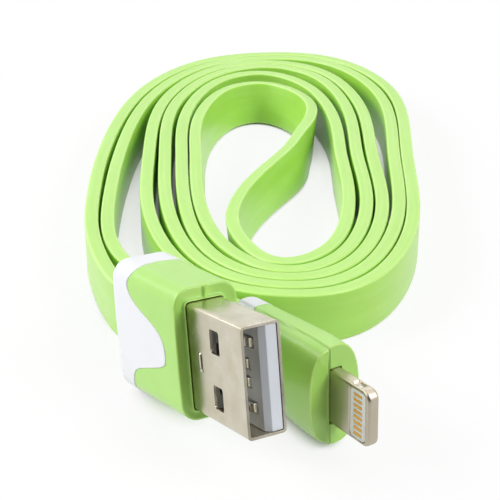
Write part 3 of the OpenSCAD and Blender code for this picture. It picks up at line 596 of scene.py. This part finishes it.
# Outer outline at a distance back: it swells just behind the front, then narrows evenly to the cord end.
# The half on one side of the seam is lower at the narrow ends
def noseRow(back, inset):
    back = np.broadcast_to(back, nose["columns"])
    share = (back - nose["front"]) / (nose["back"] - nose["front"])
    swell = nose["bulge"] * easeBetween(share, *nose["bulgeRun"])
    size = 1 + swell - (1 - nose["rear"] + nose["bulge"]) * share
    outline = noseOutline * size[:, None] - noseNormal * inset
    low = easeBetween(-outline[:, 0], nose["seam"] - nose["sideBlend"], nose["seam"] + nose["sideBlend"])
    outline[:, 1] -= np.sign(outline[:, 1]) * nose["step"] * low * np.abs(noseNormal[:, 1]) ** 2
    return row(outline + np.array(nose["middle"]), back)


front, rim = nose["front"], nose["rim"]
rimLength = rim * nose["rimStretch"]
tabHole = rayHole(*nose["hole"])
bodyRows = [row(tabHole, front + depth) for depth in nose["depths"]]
faceFrom, faceTo = row(tabHole, front), noseRow(front, rim)
for m in np.concatenate([np.linspace(0, nose["faceTo"], nose["faceRows"]), nose["lastFaces"]]):
    face = faceFrom + (faceTo - faceFrom) * m
    low = easeBetween(-face[:, 0], nose["seam"] - nose["faceBlend"], nose["seam"] + nose["faceBlend"])
    hollow = (nose["lip"] + nose["dish"] * (1 - m)) * (1 - m ** nose["dishPower"])
    face[:, 1] += low * (hollow - nose["lipRise"] * math.exp(-((1 - m) / nose["lipRun"]) ** 2))
    beside = face[:, 0] + nose["seam"] - nose["threadBeside"]
    face[:, 1] -= nose["thread"] * np.exp(-(beside / nose["threadWidth"]) ** 2)
    bodyRows.append(face)
rimFrom = len(bodyRows)
bodyRows += [noseRow(front + rimLength * (1 - math.cos(a)), rim * (1 - math.sin(a)))
             for a in quarterSteps(nose["rimRows"])]
rimEnd = len(bodyRows)
sideFrom, sideTo = front + rimLength, nose["capFrom"] - nose["jointFrom"]
bodyRows += [noseRow(sideFrom + (sideTo - sideFrom) * m, 0.0)
             for m in np.concatenate([nose["firstSides"], shares(nose["sideRows"])])]
jointFrom = len(bodyRows)
bodyRows += [noseRow(nose["capFrom"], inset) for inset in nose["lap"]]
bodyRows.append(noseRow(front + nose["closing"][0], nose["closing"][1]))
deviceGrip = skin("deviceGrip", bodyRows, device, mouldGreen)

# Painted highlight along the seam, fainter on the sides, and on the outer part of the face and the rim
beside = np.stack(bodyRows)[..., 0] + nose["seam"] - nose["middle"][0]
highlightMarks = nose["pale"] * np.exp(-(beside / nose["paleWidth"]) ** 2)
highlightMarks[rimEnd:] *= nose["sideHighlight"]
highlightMarks[rimFrom - 2:rimFrom + 6] = nose["pale"]
highlightMarks[:len(nose["depths"])] = 0
highlightMarks[jointFrom:] = 0
markHighlight(deviceGrip, highlightMarks)
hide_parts("device_overmould")


# White cap of the small plug
smallCap = dict(
    gap=0.05, proud=0.04, lap=(0.7, 0.05), edgeRound=0.05, rearRound=1.1, hole=(0.95, 3.6), mouth=0.1,
    depths=(0.3, 2.0), closing=1.2, sideRows=11, roundRows=11, rearRows=7,
)
cordHole = rayHole(*smallCap["hole"])
start, back, far = nose["capFrom"] + smallCap["gap"], nose["back"], smallCap["rearRound"]
proud = -smallCap["proud"]
sideFrom, sideTo = start + smallCap["edgeRound"], back - far
capRows = [noseRow(start, inset) for inset in smallCap["lap"]] + [noseRow(sideFrom, proud)]
capRows += [noseRow(sideFrom + (sideTo - sideFrom) * m, proud) for m in shares(smallCap["sideRows"])]
capRows += [noseRow(sideTo + far * math.sin(a), proud + far * (1 - math.cos(a)))
            for a in quarterSteps(smallCap["roundRows"])]
rearFrom, rearTo = noseRow(back, far + proud), row(cordHole, back + smallCap["mouth"])
capRows += [rearFrom + (rearTo - rearFrom) * m for m in shares(smallCap["rearRows"])]
capRows += [row(cordHole, back - depth) for depth in smallCap["depths"]]
capRows.append(noseRow(back - smallCap["depths"][-1], smallCap["closing"]))
deviceCap = skin("deviceCap", capRows, device, coverWhite)
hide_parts("device_cover")
print("small moulding", len(bodyRows), len(capRows), "rows of", nose["columns"])


# Tongue of the small plug: a plate round its window, with full round edges and a scoop in each narrow side
tongue = dict(
    length=11.3, width=6.7, thickness=1.5, corner=1.1, edge=0.42, window=(0.6, 3.3), windowHalf=2.95,
    windowCorner=0.6, lip=0.07, faceShares=(0.03, 0.25, 0.5, 0.75, 0.97),
    scoopAt=2.45, scoopReach=0.85, scoopDepth=0.52, scoopFrom=0.3, scoopFade=0.25, scoopBand=0.45,
    perCorner=16, perSide=(40, 120), edgeRows=10, sideRows=6,
)


# Outline of the plate drawn in by an inset, as distance back and across
def plateOutline(inset):
    half = np.array([tongue["length"], tongue["width"]]) / 2
    level = roundRectangle(*(half - inset), tongue["corner"] - inset, tongue["perCorner"], tongue["perSide"])
    return level + np.array([half[0], 0])


# One row of the plate: an outline at a distance across the thickness
def plateRow(outline, across):
    return np.stack([np.full(len(outline), across), outline[:, 0], outline[:, 1]], axis=1)


windowFrom, windowTo = tongue["window"]
windowOutline = roundRectangle((windowTo - windowFrom) / 2, tongue["windowHalf"], tongue["windowCorner"],
                               tongue["perCorner"], tongue["perSide"])
windowOutline += np.array([(windowFrom + windowTo) / 2, 0])
windowGrown = windowOutline + outlineNormals(windowOutline) * tongue["lip"]
deep, edge = tongue["thickness"] / 2, tongue["edge"]
faceFrom, faceTo = plateRow(windowGrown, -deep), plateRow(plateOutline(edge), -deep)
leftRows = [plateRow(windowOutline, 0.0), plateRow(windowOutline, tongue["lip"] - deep), faceFrom]
leftRows += [faceFrom + (faceTo - faceFrom) * m for m in tongue["faceShares"]]
leftRows += [plateRow(plateOutline(edge * (1 - math.sin(a))), edge * (1 - math.cos(a)) - deep)
             for a in np.radians(np.linspace(0, 90, tongue["edgeRows"]))]
leftRows += [plateRow(plateOutline(0.0), x) for x in np.linspace(edge - deep, 0, tongue["sideRows"])[1:]]
plate = np.stack(leftRows + [r * np.array([-1, 1, 1]) for r in leftRows[-2:0:-1]])
# The scoop is as deep as the root of 1 - (distance along it / reach)^2, and stops inside the broad sides
scoop = np.clip(1 - ((plate[..., 1] - tongue["scoopAt"]) / tongue["scoopReach"]) ** 2, 0, 1) ** 0.5
scoop *= 1 - np.clip((np.abs(plate[..., 0]) - tongue["scoopFrom"]) / tongue["scoopFade"], 0, 1)
scoop *= np.abs(plate[..., 2]) > tongue["width"] / 2 - tongue["scoopBand"]
plate[..., 2] -= np.sign(plate[..., 2]) * tongue["scoopDepth"] * scoop
deviceTongue = skin("deviceTongue", plate, device, tongueSteel)
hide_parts("device_tongue")
print("tongue", plate.shape[0], "rows of", plate.shape[1])


# Lip bent out of the shell in its slit: a half round bar with a short foot, bright where it catches light.
# Its middle line is a straight stem, a curl and a toe
lip = dict(back=9.68, top=1.2, foot=-0.85, stemPoints=12, curl=0.25, curlTurn=70, curlPoints=8,
           toe=((-0.1, -0.035), (-0.22, -0.08)), radius=0.4, taper=8, tip=0.02, skew=0.22, face=-2.21,
           rise=0.2, round=16)
curlAngle = np.radians(np.linspace(0, lip["curlTurn"], lip["curlPoints"]))
curlFrom = lip["foot"] + lip["curl"]
stem = np.array([(lip["back"], z) for z in np.linspace(lip["top"], curlFrom, lip["stemPoints"])])
curl = np.stack([lip["back"] - lip["curl"] * (1 - np.cos(curlAngle)),
                 curlFrom - lip["curl"] * np.sin(curlAngle)], axis=1)
lipLine = np.concatenate([stem, curl[1:], curl[-1] + np.array(lip["toe"])])
share = np.linspace(0, 1, len(lipLine))
fat = lip["radius"] * np.sqrt(np.clip(1 - (2 * share - 1) ** lip["taper"], lip["tip"], 1))
lipHeading = unit(np.gradient(lipLine, axis=0))
across = np.stack([-lipHeading[:, 1], lipHeading[:, 0]], axis=1)
turn = np.linspace(0, 2 * math.pi, lip["round"] + 1)[:-1]
offset = fat[:, None] * np.cos(turn) - lip["skew"] * np.maximum(np.sin(turn), 0)
level = lipLine[:, None] + across[:, None] * offset[..., None]
depth = lip["face"] - lip["rise"] * fat[:, None] / lip["radius"] * np.sin(turn)
lipPoints = np.stack([depth, level[..., 0], level[..., 1]], axis=-1)
lipEnds = [np.broadcast_to(lipPoints[k].mean(0), (1, lip["round"], 3)) for k in (0, -1)]
lipPoints = np.concatenate([lipEnds[0], lipPoints, lipEnds[1]])
shellLip = meshObject("shellLip", placed(lipPoints.reshape(-1, 3), host),
                      gridFaces(len(lipPoints), lip["round"]), shellSteel)


# Materials of the solids that stay
finishes = {
    "host_shell": shellSteel, "host_insulator": insulatorWhite,
    "host_contact_power": contactTin, "host_contact_data_minus": contactTin,
    "host_contact_data_plus": contactTin, "host_contact_ground": contactTin,
    "host_solder": solderTin, "host_wire_copper": wireCopper, "host_wire_insulation": wirePvc,
    "host_inner_mould": innerPe, "host_jacket_end": ribbonGreen, "device_insert": insertLcp,
    "device_contacts_front": contactGold, "device_contacts_back": contactGold, "device_board": boardLaminate,
    "device_chip": chipEpoxy, "device_passives": ceramicTan, "device_solder": solderTin,
    "device_wire_copper": wireCopper, "device_wire_insulation": wirePvc, "device_shield_can": shellSteel,
    "device_inner_mould": innerPe, "device_jacket_end": ribbonGreen,
}
for name, material in finishes.items():
    solid = bpy.data.objects[name]
    solid.data.materials.clear()
    solid.data.materials.append(material)
print("solids painted")

# Rounded edges, in millimetres and pieces. The mesh is welded and its flat faces joined first,
# so that the bevel meets one edge at a time. Angles are in degrees
rounding = dict(weld=0.002, flatAngle=0.5, edgeAngle=35)
roundings = {
    "host_shell": (0.12, 3), "host_insulator": (0.05, 2), "device_insert": (0.05, 2),
    "host_contact_power": (0.14, 4), "host_contact_data_minus": (0.14, 4),
    "host_contact_data_plus": (0.14, 4), "host_contact_ground": (0.14, 4),
    "device_contacts_front": (0.03, 2), "device_contacts_back": (0.03, 2), "device_shield_can": (0.04, 2),
    "device_chip": (0.05, 2), "device_passives": (0.05, 2), "device_board": (0.04, 2),
    "host_inner_mould": (0.2, 3), "device_inner_mould": (0.2, 3), "host_solder": (0.15, 3),
    "device_solder": (0.15, 3),
}
for name, (width, pieces) in roundings.items():
    solid = bpy.data.objects[name]
    weld = solid.modifiers.new("weld", "WELD")
    weld.merge_threshold = rounding["weld"] * mm
    joined = solid.modifiers.new("joinFlats", "DECIMATE")
    joined.decimate_type = "DISSOLVE"
    joined.angle_limit = math.radians(rounding["flatAngle"])
    bevel = solid.modifiers.new("roundEdges", "BEVEL")
    bevel.width = width * mm
    bevel.segments = pieces
    bevel.limit_method = "ANGLE"
    bevel.angle_limit = math.radians(rounding["edgeAngle"])
    smooth = solid.modifiers.new("evenShading", "WEIGHTED_NORMAL")
    smooth.keep_sharp = True
print("edges rounded")


# Floor and world. Both are white to the camera and in reflections, and light the object much less.
# The floor shows its shadow only near the object: its white glow is cut where little within openReach of it
# is open, which is partly its own lit shadow and partly painted shade from ambient occlusion, in gaps and
# close by. From whiteFrom to whiteTo it turns plain white. half and below are in metres, the distances in
# millimetres
stage = dict(half=3.0, below=0.00002, floor="#f4f4f4", roughness=0.9, shown=0.86, openReach=4,
             shadowTo=0.12, openFrom=0.5, whiteFrom=65, whiteTo=85, world=0.22)


# One if the camera, a reflection or a see-through piece looks, and zero for light that falls on things
def seenRays(tree):
    rays = addNode(tree, "ShaderNodeLightPath")
    seen = addNode(tree, "ShaderNodeMath", {"operation": "MAXIMUM"},
                   {0: rays.outputs["Is Camera Ray"], 1: rays.outputs["Is Glossy Ray"]})
    return addNode(tree, "ShaderNodeMath", {"operation": "MAXIMUM"},
                   {0: seen.outputs[0], 1: rays.outputs["Is Transmission Ray"]}).outputs[0]


# Mesh object of one four-cornered face that isn't part of the object
def stagePlane(name, corners, material):
    mesh = bpy.data.meshes.new(name)
    mesh.from_pydata(corners, [], [(0, 1, 2, 3)])
    mesh.materials.append(material)
    plane = bpy.data.objects.new(name, mesh)
    scene.collection.objects.link(plane)
    return plane


floorPaper, tree, shader = newMaterial("matFloorPaper", stage["floor"], stage["roughness"])
output = next(n for n in tree.nodes if n.type == "OUTPUT_MATERIAL")
# Painted shade: ambient occlusion takes the floor's glow away in gaps and near the object
occlusionShade = addNode(tree, "ShaderNodeAmbientOcclusion", {"Distance": stage["openReach"] * mm, "samples": 8})
occlusionShade = addNode(tree, "ShaderNodeMapRange",
                 {"From Min": stage["shadowTo"], "From Max": stage["openFrom"], "To Max": stage["shown"]},
                 {"Value": occlusionShade.outputs["AO"]})
plan = addNode(tree, "ShaderNodeMapping", {"Scale": (1, 1, 0)},
               {"Vector": addNode(tree, "ShaderNodeTexCoord").outputs["Object"]})
distance = addNode(tree, "ShaderNodeVectorMath", {"operation": "LENGTH"}, {0: plan.outputs[0]})
beyond = addNode(tree, "ShaderNodeMapRange",
                 {"From Min": stage["whiteFrom"] * mm, "From Max": stage["whiteTo"] * mm},
                 {"Value": distance.outputs["Value"]})
white = addNode(tree, "ShaderNodeMath", {"operation": "MAXIMUM"},
                {0: occlusionShade.outputs[0], 1: beyond.outputs[0]})
white = addNode(tree, "ShaderNodeMath", {"operation": "MULTIPLY"}, {0: seenRays(tree), 1: white.outputs[0]})
glow = addNode(tree, "ShaderNodeEmission", {"Color": (1, 1, 1, 1), "Strength": 1.0})
mixed = addNode(tree, "ShaderNodeMixShader", None,
                {0: white.outputs[0], 1: shader.outputs[0], 2: glow.outputs[0]})
tree.links.new(mixed.outputs[0], output.inputs["Surface"])
half, below = stage["half"], -stage["below"]
stagePlane("floor", [(-half, -half, below), (half, -half, below), (half, half, below), (-half, half, below)],
           floorPaper)

world = bpy.data.worlds.new("paleStudio")
scene.world = world
world.use_nodes = True
tree = world.node_tree
tree.nodes.clear()
soft = addNode(tree, "ShaderNodeBackground", {"Color": (1, 1, 1, 1), "Strength": stage["world"]})
plain = addNode(tree, "ShaderNodeBackground", {"Color": (1, 1, 1, 1), "Strength": 1.0})
mixed = addNode(tree, "ShaderNodeMixShader", None,
                {0: seenRays(tree), 1: soft.outputs[0], 2: plain.outputs[0]})
addNode(tree, "ShaderNodeOutputWorld", None, {"Surface": mixed.outputs[0]})

# Lamps with a flat front: place, the point they look at, the front's two sizes, watts
lamps = {
    "overheadBox": ((0.14, 0.04, 0.7), (0, 0, 0), (0.6, 0.6), 0.8),
    "leftBox": ((-0.62, -0.12, 0.4), (0, 0, 0.01), (0.4, 0.4), 3.9),
    "edgeBox": ((-0.62, 0.34, 0.36), (0, 0, 0.01), (0.3, 0.3), 1.1),
    "rightBox": ((0.54, -0.34, 0.48), (0, 0, 0.01), (0.4, 0.4), 3.8),
    "backBox": ((0.0, 0.76, 0.54), (0, 0, 0), (0.9, 0.3), 1.2),
}
for name, (place, target, size, watts) in lamps.items():
    data = bpy.data.lights.new(name, "AREA")
    data.shape = "RECTANGLE"
    data.size, data.size_y = size
    data.energy = watts
    lamp = bpy.data.objects.new(name, data)
    lamp.location = place
    lamp.rotation_euler = (Vector(place) - Vector(target)).to_track_quat("Z", "Y").to_euler()
    scene.collection.objects.link(lamp)

# Black cards that keep light off the side towards the viewer, and give the metal its dark tones.
# The camera doesn't see them
cards = {
    "standingCard": [(-0.5, -0.5, 0.0), (0.3, -0.5, 0.0), (0.3, -0.5, 0.6), (-0.5, -0.5, 0.6)],
    "lyingCard": [(-0.12, -0.44, 0.0005), (0.12, -0.44, 0.0005), (0.12, -0.086, 0.0005),
                  (-0.12, -0.086, 0.0005)],
}
blackFelt, tree, shader = newMaterial("blackFelt", "#181818", 0.9)
for name, corners in cards.items():
    stagePlane(name, corners, blackFelt).visible_camera = False
scene.view_settings.view_transform = "Standard"
print("stage lit")
